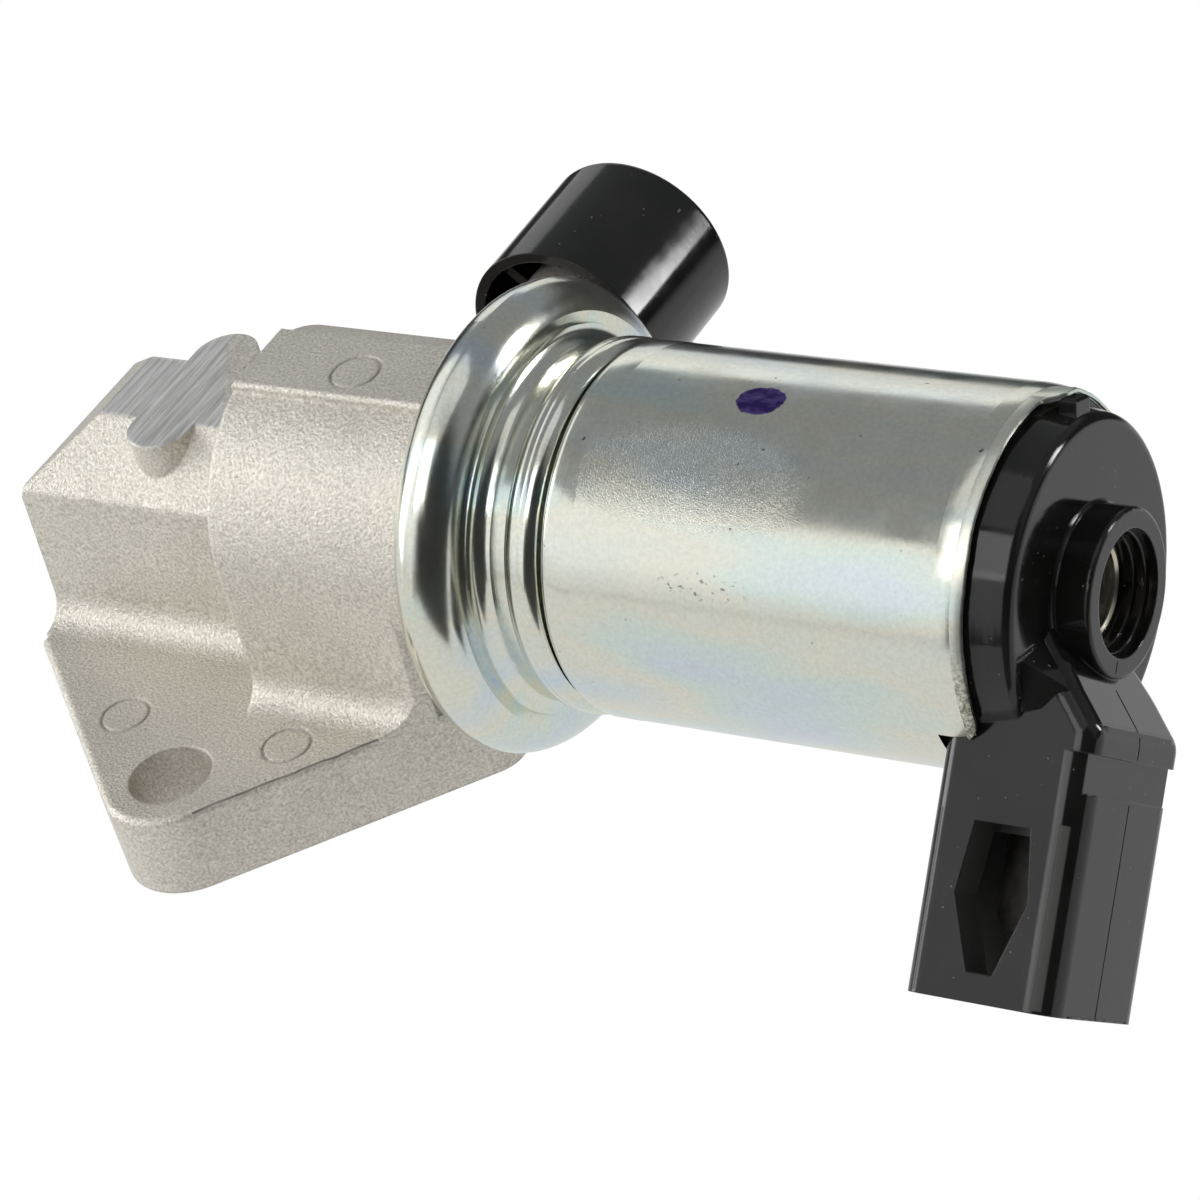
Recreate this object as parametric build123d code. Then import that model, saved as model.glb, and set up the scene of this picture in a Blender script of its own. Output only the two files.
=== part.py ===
from build123d import *
import math
import os

# Idle air control valve, in millimetres. The origin is the centre of the mounting face,
# +X runs along the solenoid axis towards the connector, +Y away from the connector, +Z up.

# Cast body: flange plate
axis_height = 23.0
plate_t = 9.0
plate_half_length = 26.5
plate_corner_y = 13.0
plate_corner_round = 4.0
plate_edge_round = 0.8
bolt_spacing = 56.9
bolt_hole_d = 8.4
lobe_r = 6.9

# Cast body: hip-roofed block over the outlet port
front_wall_y = -8.2
back_wall_y = 13.5
wall_draft = 0.8
wall_top = 1.4
crest_top = 7.2
crest_front_y = -1.7
crest_back_y = 7.8
crest_start_x = -18.6
block_edge_round = 0.9
sill_r = 3.0

# Cast body: sawn-off sprue across the crest
sprue_x = -10.5
sprue_w = 7.0
sprue_front_y = -6.0
sprue_back_y = 12.8
sprue_depth = 6.5

# Cast body: round block over the inlet port
round_x = 2.0
round_r = 15.5
round_foot_y = 15.9
pad_top = 15.7
pad_front_y = -4.9
pad_back_y = 4.4
pad_end_x = 21.7
flare_x = 22.6
flange_x = 28.5
flange_t = 4.2
flange_r = 21.3
flare_r = 18.0
register_l = 3.0

# Cast body: inside
outlet_x = -10.5
outlet_l = 14.0
outlet_y = 2.6
outlet_w = 15.0
outlet_top = 3.2
inlet_x = 13.5
inlet_l = 14.0
inlet_w = 15.0
port_corner_r = 4.0
chamber_r = 11.0
chamber_x = 6.2
throat_r = 5.0
bush_pocket_depth = 5.5
shaft_room = 1.5

# Rear inlet spigot and its cap
spigot_x = 14.5
spigot_drop = 3.1
spigot_r = 6.5
spigot_bore_r = 4.5
spigot_end_y = 41.0
cap_mouth_y = 30.4
cap_l = 16.5
cap_r = 10.3
cap_wall = 1.1
cap_end_t = 1.5
cap_edge_round = 0.7
cap_rib_t = 1.2
cap_rib_count = 4
cap_rib_setback = 2.2
cap_rib_stop = 1.4

# Mounting collar (plated steel, rolled over the flange of the body)
collar_wall = 1.2
collar_r = 22.65
roll_r = 3.5
collar_lip_r = 18.9
crest_r = 19.7
cove_step_r = 18.6
neck_r = 16.8
neck_bore_r = 15.6
neck_end_x = 37.1
bead_x = 39.0
bead_r = 17.75
collar_end_x = 40.7
collar_end_r = 17.0

# Solenoid can (deep drawn, plated steel)
can_gap = 0.35
can_wall = 0.9
can_r = 17.7
solenoid_l = 37.15
can_front_r = 15.8
can_shoulder_l = 2.8
can_rim_l = 3.6
can_bend_l = 2.4
can_end_r = 17.3
rim_notch_gap = 0.2

# Solenoid inside
tube_bore_r = 6.3
tube_wall = 0.5
plate_front_t = 2.4
plate_rear_t = 2.2
bobbin_wall = 1.0
bobbin_flange_t = 1.3
bobbin_flange_r = 16.0
coil_r = 14.6
washer_t = 0.4
washer_in_r = 8.4
washer_out_r = 15.0
core_gap = 0.5
core_tail_l = 8.2
core_shoulder_r = 5.0
adjuster_r = 3.2
adjuster_setback = 1.0
adjuster_l = 17.5
slot_w = 1.0
slot_depth = 1.5
tube_end_x = 74.0

# Moving plunger
running_fit = 0.06
shaft_r = 2.0
shaft_x = -21.4
armature_x = 44.4
armature_l = 19.6
armature_pocket_r = 3.4
armature_pocket_l = 8.0
armature_flute_r = 1.0
stroke = 3.5
clip_groove = 0.4
clip_t = 0.8
clip_r = 3.6
clip_gap = 2.6
cup_x = -8.6
cup_t = 0.9
cup_r = 4.4

# Valve seat and poppet
seat_l = 3.8
seat_r = 8.0
seat_lip_r = 6.0
seat_lip = 0.6
seat_clearance = 0.25
seal_t = 1.4
poppet_r = 7.5
poppet_t = 1.8
poppet_hub_r = 3.8
poppet_hub_l = 3.0

# Bushes and springs
bush_wall = 1.6
front_bush_l = 5.0
rear_bush_l = 4.2
return_wire_r = 0.35
return_coil_r = 2.7
return_turns = 9
balance_wire_r = 0.28
balance_coil_r = 3.2
balance_turns = 6

# Seals
body_seal_r = 18.1
body_seal_section = 0.9
cap_seal_section = 0.7

# End cap and connector (one moulding)
cap_side_l = 4.2
cap_side_r = 16.3
cap_front_r = 15.3
cap_edge = 0.7
boss_r = 7.7
boss_l = 3.6
boss_hole_r = 5.8
boss_step_depth = 2.4
connector_clock = 45.0
shell_overhang = 3.5
shell_l = 14.6
shell_half_e = 9.2
shell_root_d = 12.0
shell_tip_d = 37.5
shell_front_corner = 2.7
shell_back_corner = 2.0
socket_wall = 1.5
socket_latch_wall = 4.3
socket_depth = 15.0
neck_top_d = 3.9
neck_top_half_e = 6.9
neck_flare_d = 9.6
neck_flare_round = 5.0
neck_knee_d = 12.4
neck_knee_round = 2.4
neck_step = 0.1
neck_lip_l = 2.2
band_w = 3.5
band_depth = 0.7
gusset_l = 1.8
gusset_root = ((4.6, 6.5), (7.6, 11.3), (11.9, 9.6), (11.9, 6.5))
gusset_tip = ((6.6, 6.5), (9.2, 9.0), (9.6, 9.2), (10.5, 6.5))
window_l = 13.1
window_low_l = 6.6
window_setback = 2.6
window_top_w = 5.4
window_mid_w = 7.1
window_low_w = 2.5
lug_clock = 24.0
lug_setback = 1.7
lug_l = 1.7
lug_w = 2.6
lug_h = 1.2

# Terminals
pin_pitch = 5.6
pin_w = 2.8
pin_t = 0.8
pin_tip_setback = 6.5
pin_leg_d = 9.6
pin_leg_w = 2.0
pin_leg_pitch = 3.0
pin_slot_gap = 0.5

# Ejector marks left by the mould
mark_r = 2.6
mark_w = 0.3
mark_depth = 0.2
mark_places = ((-10.1, -21.5), (9.6, -21.9))
pad_mark = (14.7, -1.1)

# Worked-out places
flange_front_x = flange_x + flange_t
register_end_x = flange_front_x + register_l
can_x = collar_end_x + can_gap
front_plate_x = can_x + can_wall
rear_plate_x = can_x + solenoid_l
bobbin_x = front_plate_x + plate_front_t
bobbin_end_x = rear_plate_x - washer_t
cap_plug_x = rear_plate_x + plate_rear_t
can_end_x = cap_plug_x + can_rim_l
can_bend_x = can_end_x - can_bend_l
cap_front_x = can_end_x + cap_side_l
boss_front_x = cap_front_x + boss_l
boss_step_x = boss_front_x - boss_step_depth
core_end_x = cap_plug_x + core_tail_l
lug_x = can_end_x + lug_setback
shell_x = can_end_x - shell_overhang
seat_x = chamber_x - seat_l
seal_x = chamber_x + seat_lip + seat_clearance
poppet_x = seal_x + seal_t
hub_end_x = poppet_x + poppet_t + poppet_hub_l
armature_end_x = armature_x + armature_l
pocket_floor_x = armature_end_x - armature_pocket_l
outlet_west_x = outlet_x - outlet_l / 2
bush_x = outlet_west_x - bush_pocket_depth
bush_r = shaft_r + bush_wall
rear_bush_x = register_end_x + 0.6
tube_r = tube_bore_r + tube_wall
spigot_z = axis_height - spigot_drop
shell_mid_x = shell_x + shell_l / 2
pin_e = (socket_wall - socket_latch_wall) / 2
latch_face_e = shell_half_e - socket_latch_wall
shell_front_x = shell_x + shell_l
neck_edge_round = 0.8 * neck_knee_round
band_top_d = neck_knee_d + neck_lip_l
band_end_d = band_top_d + band_w
window_low_d = shell_tip_d - window_setback
window_mid_d = window_low_d - window_low_l
window_top_d = window_low_d - window_l
core_x = armature_end_x + stroke + core_gap
adjuster_x = core_x + adjuster_setback

# Sketch planes: cross sections face +X, side sections face -Y
side_plane = Plane(origin=(0, 0, axis_height), x_dir=(1, 0, 0), z_dir=(0, -1, 0))
solenoid_axis = Axis((0, 0, axis_height), (1, 0, 0))
clock = math.radians(connector_clock)
down = (0, -math.sin(clock), -math.cos(clock))
connector_plane = Plane(origin=(0, 0, axis_height), x_dir=(1, 0, 0), z_dir=down)


def cross_plane(x):
    return Plane(origin=(x, 0, axis_height), x_dir=(0, 1, 0), z_dir=(1, 0, 0))


def outline(*points):
    return make_face(Polyline(*points, close=True))


def turned(profile):
    """A profile drawn as (x along the axis, radius), turned about the solenoid axis."""
    return revolve(side_plane * profile, solenoid_axis)


def ring(x0, x1, r_in, r_out):
    """A turned ring, or a plain disc where r_in is 0."""
    section = Pos((x0 + x1) / 2, (r_in + r_out) / 2) * Rectangle(x1 - x0, r_out - r_in)
    return turned(section)


def o_ring(x, r, section):
    return turned(Pos(x, r) * Circle(section))


def plate_outline():
    """Hull of the two bolt lobes and a central bar with its east corners rounded."""
    bar = Rectangle(2 * plate_half_length, 2 * plate_corner_y)
    bar = fillet(bar.vertices().group_by(Axis.X)[-1], plate_corner_round)
    lobes = [Pos(0, side * bolt_spacing / 2) * Circle(lobe_r) for side in (-1, 1)]
    edges = list(bar.edges()) + [edge for lobe in lobes for edge in lobe.edges()]
    return make_hull(edges)


def flange_plate():
    plate = extrude(plate_outline(), plate_t)
    return fillet(plate.edges().group_by(Axis.Z)[-1], plate_edge_round)


def sill_section(side, top_y, foot_y, top_z):
    """Half section of a wall with its cast sill, from the centre line outwards."""
    z_plate = plate_t - axis_height
    lean = (foot_y - top_y) / (top_z - z_plate)
    toe = (side * (foot_y + sill_r), z_plate)
    shoulder = (side * (foot_y - lean * sill_r), z_plate + sill_r)
    middle = (side * (foot_y + sill_r * (1 - math.sqrt(0.5))), z_plate + sill_r * (1 - math.sqrt(0.5)))
    return shoulder, middle, toe


def hip_block():
    """Block over the outlet: sloped on the front, the end and the back up to a flat crest."""
    floor = -axis_height
    foot_front = -front_wall_y + wall_draft
    foot_back = back_wall_y + wall_draft
    front = sill_section(-1, -front_wall_y, foot_front, wall_top)
    back = sill_section(1, back_wall_y, foot_back, wall_top)
    roof = Polyline(front[0], (front_wall_y, wall_top), (crest_front_y, crest_top),
                    (crest_back_y, crest_top), (back_wall_y, wall_top), back[0])
    base = Polyline(back[2], (back[2][0], floor), (front[2][0], floor), front[2])
    sills = [ThreePointArc(*front), ThreePointArc(*back)]
    section = make_face([*roof.edges(), *base.edges(), *sills])
    along = extrude(cross_plane(-plate_half_length) * section, plate_half_length + round_x + 2)
    profile = outline((-plate_half_length, floor), (-plate_half_length, wall_top),
                      (crest_start_x, crest_top), (round_x + 2, crest_top), (round_x + 2, floor))
    block = along & extrude(side_plane * profile, 2 * back_wall_y, both=True)
    ridge = block.edges().filter_by(lambda e: e.center().Z > axis_height + wall_top - 0.1)
    ridge = ridge.filter_by(lambda e: e.center().X < round_x + 1.9)
    return fillet(ridge, block_edge_round)


def sprue():
    """Stub of the casting sprue, sawn off level with the crest."""
    length = sprue_back_y - sprue_front_y
    slot = Pos(sprue_x, (sprue_back_y + sprue_front_y) / 2) * Rot(0, 0, 90) * SlotOverall(length, sprue_w)
    top = axis_height + crest_top
    return extrude(Pos(0, 0, top - sprue_depth) * slot, sprue_depth)


def round_block():
    """Block over the inlet: round on top, upright sides with sills, and a flat pad."""
    floor = -axis_height
    left = sill_section(-1, round_r, round_foot_y, 0)
    right = sill_section(1, round_r, round_foot_y, 0)
    edges = [ThreePointArc((-round_r, 0), (0, round_r), (round_r, 0)),
             Line((-round_r, 0), left[0]), Line((round_r, 0), right[0]),
             ThreePointArc(*left), ThreePointArc(*right)]
    base = Polyline(right[2], (right[2][0], floor), (left[2][0], floor), left[2])
    section = make_face([*edges, *base.edges()])
    block = extrude(cross_plane(round_x) * section, flare_x - round_x)
    rim = block.faces().sort_by(Axis.X)[0].edges()
    rim = rim.filter_by(lambda e: e.center().Z > plate_t + sill_r + 0.1)
    block = fillet(rim, block_edge_round)
    pad_y = (pad_front_y + pad_back_y) / 2
    pad_x = (round_x + pad_end_x) / 2
    pad_size = (pad_end_x - round_x - block_edge_round, pad_back_y - pad_front_y)
    pad = extrude(Pos(pad_x, pad_y, axis_height) * Rectangle(*pad_size), pad_top)
    pad = chamfer(pad.edges().group_by(Axis.Z)[-1], 0.35)
    return block + pad


def flare():
    """Cove from the round block out to the flange, the flange itself and the register."""
    top = (flange_x, flare_r)
    foot = (flare_x - 1, round_r - 2)
    start = (flare_x - 1, round_r - 0.2)
    middle = (flare_x + 0.62 * (flange_x - flare_x), round_r + 0.3 * (flare_r - round_r))
    edges = [ThreePointArc(start, middle, top), Line(top, (flange_x, round_r - 2)),
             Line((flange_x, round_r - 2), foot), Line(foot, start)]
    cove = turned(make_face(edges))
    disc = ring(flange_x, flange_front_x, 0, flange_r)
    disc = fillet(disc.edges().filter_by(GeomType.CIRCLE), 0.5)
    return cove + disc + ring(flare_x - 1, register_end_x, 0, neck_bore_r)


def port(x, y, length, width, top):
    """An upright port from the mounting face, with rounded corners."""
    return extrude(Pos(x, y) * RectangleRounded(length, width, port_corner_r), top)


def spigot_place(y):
    return Plane(origin=(spigot_x, y, spigot_z), x_dir=(1, 0, 0), z_dir=(0, 1, 0))


def spigot():
    """Round spigot from the back of the inlet chamber, with a root boss."""
    start = chamber_r - 1
    stem = extrude(spigot_place(start) * Circle(spigot_r), spigot_end_y - start)
    stem = chamfer(stem.edges().sort_by(Axis.Y)[-1], 0.6)
    root = extrude(spigot_place(start) * Circle(spigot_r + 1.8), round_foot_y + 1.2 - start)
    return stem + root


def body_cuts():
    """Everything machined or cored out of the casting."""
    cuts = [port(outlet_x, outlet_y, outlet_l, outlet_w, axis_height + outlet_top),
            port(inlet_x, 0, inlet_l, inlet_w, axis_height),
            ring(chamber_x, register_end_x + 1, 0, chamber_r),
            ring(seat_x, chamber_x + 1, 0, seat_r),
            ring(outlet_x, chamber_x, 0, throat_r),
            ring(bush_x, outlet_x, 0, bush_r),
            ring(bush_x - shaft_room, outlet_x, 0, shaft_r + 0.4)]
    cuts += [Pos(0, side * bolt_spacing / 2, -1) * extrude(Circle(bolt_hole_d / 2), plate_t + 2)
             for side in (-1, 1)]
    cuts.append(extrude(spigot_place(chamber_r - 3) * Circle(spigot_bore_r), spigot_end_y))
    seal_in = body_seal_r - body_seal_section
    seal_out = body_seal_r + body_seal_section
    cuts.append(ring(flange_front_x - 2 * body_seal_section, flange_front_x + 1, seal_in, seal_out))
    groove = Circle(mark_r) - Circle(mark_r - mark_w)
    places = [(x, y, plate_t) for x, y in mark_places]
    places.append((*pad_mark, axis_height + pad_top))
    for x, y, z in places:
        cuts.append(extrude(Pos(x, y, z - mark_depth) * groove, mark_depth + 1))
    return cuts


def valve_body():
    foot = extrude(plate_outline(), axis_height + round_r + pad_top)
    casting = flange_plate() + (hip_block() + round_block()) & foot
    for piece in (sprue(), flare(), spigot()):
        casting = casting + piece
    for cut in body_cuts():
        casting = casting - cut
    return casting


def inlet_cap():
    """Skirted cap over the spigot: thin wall, closed end, ribs that grip the spigot."""
    shell = extrude(spigot_place(cap_mouth_y) * Circle(cap_r), cap_l)
    shell = fillet(shell.edges().sort_by(Axis.Y)[-1], cap_edge_round)
    inner = cap_r - cap_wall
    room = extrude(spigot_place(cap_mouth_y) * Circle(inner), cap_l - cap_end_t)
    cap = shell - room
    ribs_l = cap_l - cap_end_t - cap_rib_setback
    for turn in range(cap_rib_count):
        angle = 45 + turn * 360 / cap_rib_count
        place = Rot(0, 0, angle) * Pos((spigot_r - cap_rib_stop + inner + 0.2) / 2, 0)
        rib = place * Rectangle(inner + 0.2 - spigot_r + cap_rib_stop, cap_rib_t)
        cap = cap + extrude(spigot_place(cap_mouth_y + cap_rib_setback) * rib, ribs_l)
    bore = extrude(spigot_place(cap_mouth_y) * Circle(spigot_r), spigot_end_y - cap_mouth_y)
    return cap - bore


def mounting_collar():
    """Rolled collar: lip behind the flange, roll round it, cove, neck and bead."""
    roll_x = flange_x - collar_wall + roll_r
    front_x = flange_front_x + collar_wall
    back_x = flange_x - collar_wall
    mid_r = collar_r - roll_r
    diag = roll_r * math.sqrt(0.5)
    outer = [
        Line((flange_x, collar_lip_r), (back_x + 0.4, collar_lip_r)),
        Line((back_x + 0.4, collar_lip_r), (back_x, collar_lip_r + 0.4)),
        Line((back_x, collar_lip_r + 0.4), (back_x, mid_r)),
        ThreePointArc((back_x, mid_r), (roll_x - diag, mid_r + diag), (roll_x, collar_r)),
        ThreePointArc((roll_x, collar_r), (front_x - 0.9, crest_r + 1.7), (front_x, crest_r)),
        Line((front_x, crest_r), (front_x - 0.25, cove_step_r)),
        Line((front_x - 0.25, cove_step_r), (front_x + 0.1, cove_step_r - 0.1)),
        ThreePointArc((front_x + 0.1, cove_step_r - 0.1), (front_x + 0.5, neck_r + 0.5),
                      (front_x + 1.6, neck_r)),
        Line((front_x + 1.6, neck_r), (neck_end_x, neck_r)),
        ThreePointArc((neck_end_x, neck_r), (neck_end_x + 0.8, bead_r - 0.15), (bead_x, bead_r)),
        ThreePointArc((bead_x, bead_r), (collar_end_x - 0.5, bead_r - 0.2),
                      (collar_end_x, collar_end_r)),
        Line((collar_end_x, collar_end_r), (collar_end_x, neck_bore_r)),
        Line((collar_end_x, neck_bore_r), (flange_front_x, neck_bore_r)),
        Line((flange_front_x, neck_bore_r), (flange_front_x, flange_r)),
        Line((flange_front_x, flange_r), (flange_x, flange_r)),
        Line((flange_x, flange_r), (flange_x, collar_lip_r)),
    ]
    return turned(make_face(outer))


def solenoid_can():
    """Drawn can: flat front with a hole, soft shoulder, straight wall, rolled-in rim."""
    shoulder_x = can_x + can_shoulder_l
    knee = (can_x + 0.95, can_r - 0.55)
    edges = [
        Line((can_x, tube_r), (can_x, can_front_r)),
        ThreePointArc((can_x, can_front_r), knee, (shoulder_x, can_r)),
        Line((shoulder_x, can_r), (can_bend_x, can_r)),
        ThreePointArc((can_bend_x, can_r), ((can_bend_x + can_end_x) / 2, can_r - 0.12),
                      (can_end_x, can_end_r)),
        Line((can_end_x, can_end_r), (can_end_x, can_end_r - can_wall)),
        Line((can_end_x, can_end_r - can_wall), (can_bend_x, can_r - can_wall)),
        Line((can_bend_x, can_r - can_wall), (shoulder_x, can_r - can_wall)),
        ThreePointArc((shoulder_x, can_r - can_wall), (knee[0] + 0.55, knee[1] - 0.75),
                      (front_plate_x, can_front_r - 0.4)),
        Line((front_plate_x, can_front_r - 0.4), (front_plate_x, tube_r)),
        Line((front_plate_x, tube_r), (can_x, tube_r)),
    ]
    can = turned(make_face(edges))
    notch_l = can_end_x - shell_x + rim_notch_gap
    notch_w = 2 * (shell_half_e + rim_notch_gap)
    rim_notch = connector_plane * Pos(can_end_x, 0, can_r) * Box(2 * notch_l, notch_w, can_r / 2)
    return can - rim_notch


def valve_seat():
    body = ring(seat_x, chamber_x, throat_r, seat_r)
    lip = outline((chamber_x - 1, throat_r), (chamber_x + seat_lip, throat_r),
                  (chamber_x + seat_lip, throat_r + 0.5), (chamber_x, seat_lip_r),
                  (chamber_x - 1, seat_lip_r))
    return body + turned(lip)


def poppet_seal():
    return ring(seal_x, poppet_x, shaft_r, poppet_r - 0.3)


def valve_poppet():
    disc = ring(poppet_x, poppet_x + poppet_t, shaft_r, poppet_r)
    disc = fillet(disc.edges().filter_by(GeomType.CIRCLE).sort_by(SortBy.RADIUS)[-2:], 0.5)
    hub = ring(poppet_x + poppet_t - 0.1, hub_end_x, shaft_r, poppet_hub_r)
    return disc + hub


def clip_x_places():
    """Clips on the shaft: in front of the poppet, behind it, and behind the spring cup."""
    return seal_x - clip_t, hub_end_x, cup_x + cup_t


def valve_shaft():
    shaft = ring(shaft_x, pocket_floor_x, 0, shaft_r)
    shaft = chamfer(shaft.edges().filter_by(GeomType.CIRCLE).sort_by(Axis.X)[0], 0.4)
    for x in clip_x_places():
        shaft = shaft - ring(x, x + clip_t, shaft_r - clip_groove, shaft_r + 1)
    return shaft


def shaft_clip(x):
    """Open clip snapped into a groove of the shaft."""
    clip = ring(x, x + clip_t, shaft_r - clip_groove, clip_r)
    return clip - Pos(x, 0, axis_height - clip_r) * Box(4 * clip_t, clip_gap, 2 * clip_r)


def spring_cup():
    disc = ring(cup_x, cup_x + cup_t, shaft_r, cup_r)
    rim_x = cup_x - 1.0
    return disc + ring(rim_x, cup_x + 0.1, cup_r - 0.5, cup_r)


def bush(x, length):
    body = ring(x, x + length, shaft_r + running_fit, bush_r)
    return chamfer(body.edges().filter_by(GeomType.CIRCLE).sort_by(SortBy.RADIUS)[-2:], 0.3)


def bearing_carrier():
    """Plug that closes the neck and holds the rear bush."""
    plug = ring(register_end_x, can_x, bush_r, neck_bore_r)
    relief = ring(register_end_x - 1, can_x - 1.6, bush_r + 2.2, neck_bore_r - 2.2)
    return plug - relief


def coil_spring(x0, x1, radius, wire, turns):
    """Open spring between two planes across the solenoid axis."""
    length = x1 - x0 - 2 * wire
    path = Helix(pitch=length / turns, height=length, radius=radius)
    start = Plane(origin=path @ 0, z_dir=path % 0)
    coil = sweep(start * Circle(wire), path=path, is_frenet=True)
    return Plane(origin=(x0 + wire, 0, axis_height), x_dir=(0, 1, 0), z_dir=(1, 0, 0)) * coil


def armature():
    """Plunger with a spring pocket and two air flutes along its side."""
    body = ring(armature_x, armature_end_x, shaft_r, tube_bore_r - running_fit)
    body = body - ring(pocket_floor_x, armature_end_x + 1, 0, armature_pocket_r)
    body = chamfer(body.edges().filter_by(GeomType.CIRCLE).sort_by(SortBy.RADIUS)[-2:], 0.4)
    for side in (-1, 1):
        flute = cross_plane(armature_x - 1) * Pos(side * tube_bore_r, 0) * Circle(armature_flute_r)
        body = body - extrude(flute, armature_l + 2)
    return body


def guide_tube():
    return ring(can_x, tube_end_x, tube_bore_r, tube_r)


def flux_plate(x, thickness, bore_r):
    return ring(x, x + thickness, bore_r, can_r - can_wall)


def front_plate():
    """Front flux plate; its front corner follows the inside of the can's shoulder."""
    plate = flux_plate(front_plate_x, plate_front_t, tube_r)
    corner = plate.edges().filter_by(GeomType.CIRCLE).sort_by(SortBy.RADIUS)[-2:]
    return chamfer(corner.sort_by(Axis.X)[0], 1.7, 1.7)


def rear_plate():
    """Rear flux plate with one slot for the two terminal legs."""
    plate = flux_plate(rear_plate_x, plate_rear_t, tube_bore_r)
    leg_low = pin_leg_d - pin_slot_gap
    leg_high = pin_leg_d + pin_leg_pitch + pin_leg_w + pin_slot_gap
    slot = Rectangle(2 * plate_rear_t + 2, pin_t + 2 * pin_slot_gap)
    place = connector_plane * Pos(rear_plate_x, pin_e, leg_low)
    return plate - extrude(place * slot, leg_high - leg_low)


def fixed_core():
    """Core in the rear of the tube; its slim tail reaches into the boss of the end cap."""
    front = ring(core_x, cap_plug_x, adjuster_r, tube_bore_r)
    tail = ring(cap_plug_x, core_end_x, adjuster_r, core_shoulder_r)
    return chamfer((front + tail).edges().sort_by(Axis.X)[-1], 0.3)


def adjuster_screw():
    screw = ring(adjuster_x, adjuster_x + adjuster_l, 0, adjuster_r)
    slot = Pos(adjuster_x + adjuster_l, 0, axis_height) * Box(2 * slot_depth, 3 * adjuster_r, slot_w)
    return screw - slot


def bobbin():
    barrel = ring(bobbin_x, bobbin_end_x, tube_r, tube_r + bobbin_wall)
    front = ring(bobbin_x, bobbin_x + bobbin_flange_t, tube_r, bobbin_flange_r)
    rear = ring(bobbin_end_x - bobbin_flange_t, bobbin_end_x, tube_r, bobbin_flange_r)
    return barrel + front + rear


def coil_winding():
    x0 = bobbin_x + bobbin_flange_t
    x1 = bobbin_end_x - bobbin_flange_t
    return ring(x0, x1, tube_r + bobbin_wall, coil_r)


def bobbin_washer():
    washer = ring(bobbin_end_x, rear_plate_x, washer_in_r, washer_out_r)
    gap = connector_plane * Pos(rear_plate_x, pin_e, washer_out_r) * Box(6, 4, 2 * washer_out_r - 8)
    return washer - gap


def terminal(index):
    """Flat stamped L: a leg out of the bobbin and a blade down into the socket."""
    side = 2 * index - 1
    blade_x = shell_mid_x + side * pin_pitch / 2
    leg_d = pin_leg_d + (1 - index) * pin_leg_pitch
    tip_d = shell_tip_d - pin_tip_setback
    x0, x1 = bobbin_end_x, blade_x + pin_w / 2
    shape = outline((x0, leg_d), (x1, leg_d), (x1, tip_d - 1.2), (x1 - 0.9, tip_d),
                    (x1 - pin_w + 0.9, tip_d), (x1 - pin_w, tip_d - 1.2),
                    (x1 - pin_w, leg_d + pin_leg_w), (x0, leg_d + pin_leg_w))
    flat = extrude(shape, pin_t / 2, both=True)
    return connector_frame(flat, pin_e)


def connector_frame(shape, e=0):
    """Places a shape drawn as (x, distance from the axis) into the connector's direction."""
    flat = Plane(origin=(0, 0, axis_height), x_dir=(1, 0, 0),
                 z_dir=(0, math.cos(clock), -math.sin(clock)))
    return flat * Pos(0, 0, -e) * shape


def width_plane(x):
    """Cross section of the connector's frame: drawn as (distance from the axis, width)."""
    return Plane(origin=(x, 0, 0), x_dir=(0, 1, 0), z_dir=(1, 0, 0))


def cap_disc():
    """Turned part of the moulding: plug in the can, tapered side, front and hollow boss."""
    edges = [
        Line((cap_plug_x, 0), (cap_plug_x, can_r - can_wall)),
        Line((cap_plug_x, can_r - can_wall), (can_bend_x, can_r - can_wall)),
        Line((can_bend_x, can_r - can_wall), (can_end_x, cap_side_r)),
        Line((can_end_x, cap_side_r), (cap_front_x - cap_edge, cap_front_r + cap_edge / 2)),
        ThreePointArc((cap_front_x - cap_edge, cap_front_r + cap_edge / 2),
                      (cap_front_x - 0.3 * cap_edge, cap_front_r),
                      (cap_front_x, cap_front_r - cap_edge)),
        Line((cap_front_x, cap_front_r - cap_edge), (cap_front_x, 0)),
        Line((cap_front_x, 0), (cap_plug_x, 0)),
    ]
    disc = turned(make_face(edges))
    boss = ring(cap_front_x - 1, boss_front_x, 0, boss_r)
    boss = fillet(boss.edges().filter_by(GeomType.CIRCLE).sort_by(Axis.X)[-1], 0.4)
    return disc + boss


def connector_neck():
    """Shoulder that slopes from the cap's front out to the shell and widens on its way."""
    root_x = cap_front_x - 1
    knee_x = shell_front_x + neck_step
    slope = (neck_knee_d - neck_top_d) / (knee_x - cap_front_x)
    profile = outline((root_x, neck_top_d - slope), (knee_x, neck_knee_d),
                      (knee_x, band_top_d), (root_x, band_top_d))
    profile = fillet(profile.vertices().sort_by(Axis.X)[-2:].sort_by(Axis.Y)[0], neck_knee_round)
    slab = extrude(profile, shell_half_e, both=True)
    flare = outline((neck_top_d - slope, neck_top_half_e), (neck_flare_d, shell_half_e),
                    (band_top_d, shell_half_e), (band_top_d, -shell_half_e),
                    (neck_flare_d, -shell_half_e), (neck_top_d - slope, -neck_top_half_e))
    flare = fillet(flare.vertices().sort_by(Axis.X)[2:4], neck_flare_round)
    neck = slab & extrude(width_plane(root_x) * flare, knee_x - root_x)
    sides = neck.edges().filter_by(lambda e: e.center().X > cap_front_x + 1)
    sides = sides.filter_by(lambda e: abs(e.center().Z) > neck_top_half_e)
    return fillet(sides.filter_by(lambda e: e.center().Y < band_top_d - 0.1), neck_edge_round)


def gusset(side):
    """Web in the corner between the cap's front and one side of the neck."""
    root = outline(*[(d, side * e) for d, e in gusset_root])
    tip = outline(*[(d, side * e) for d, e in gusset_tip])
    root_x = cap_front_x - 0.1
    return loft([width_plane(root_x) * root, width_plane(cap_front_x + gusset_l) * tip])


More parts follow.
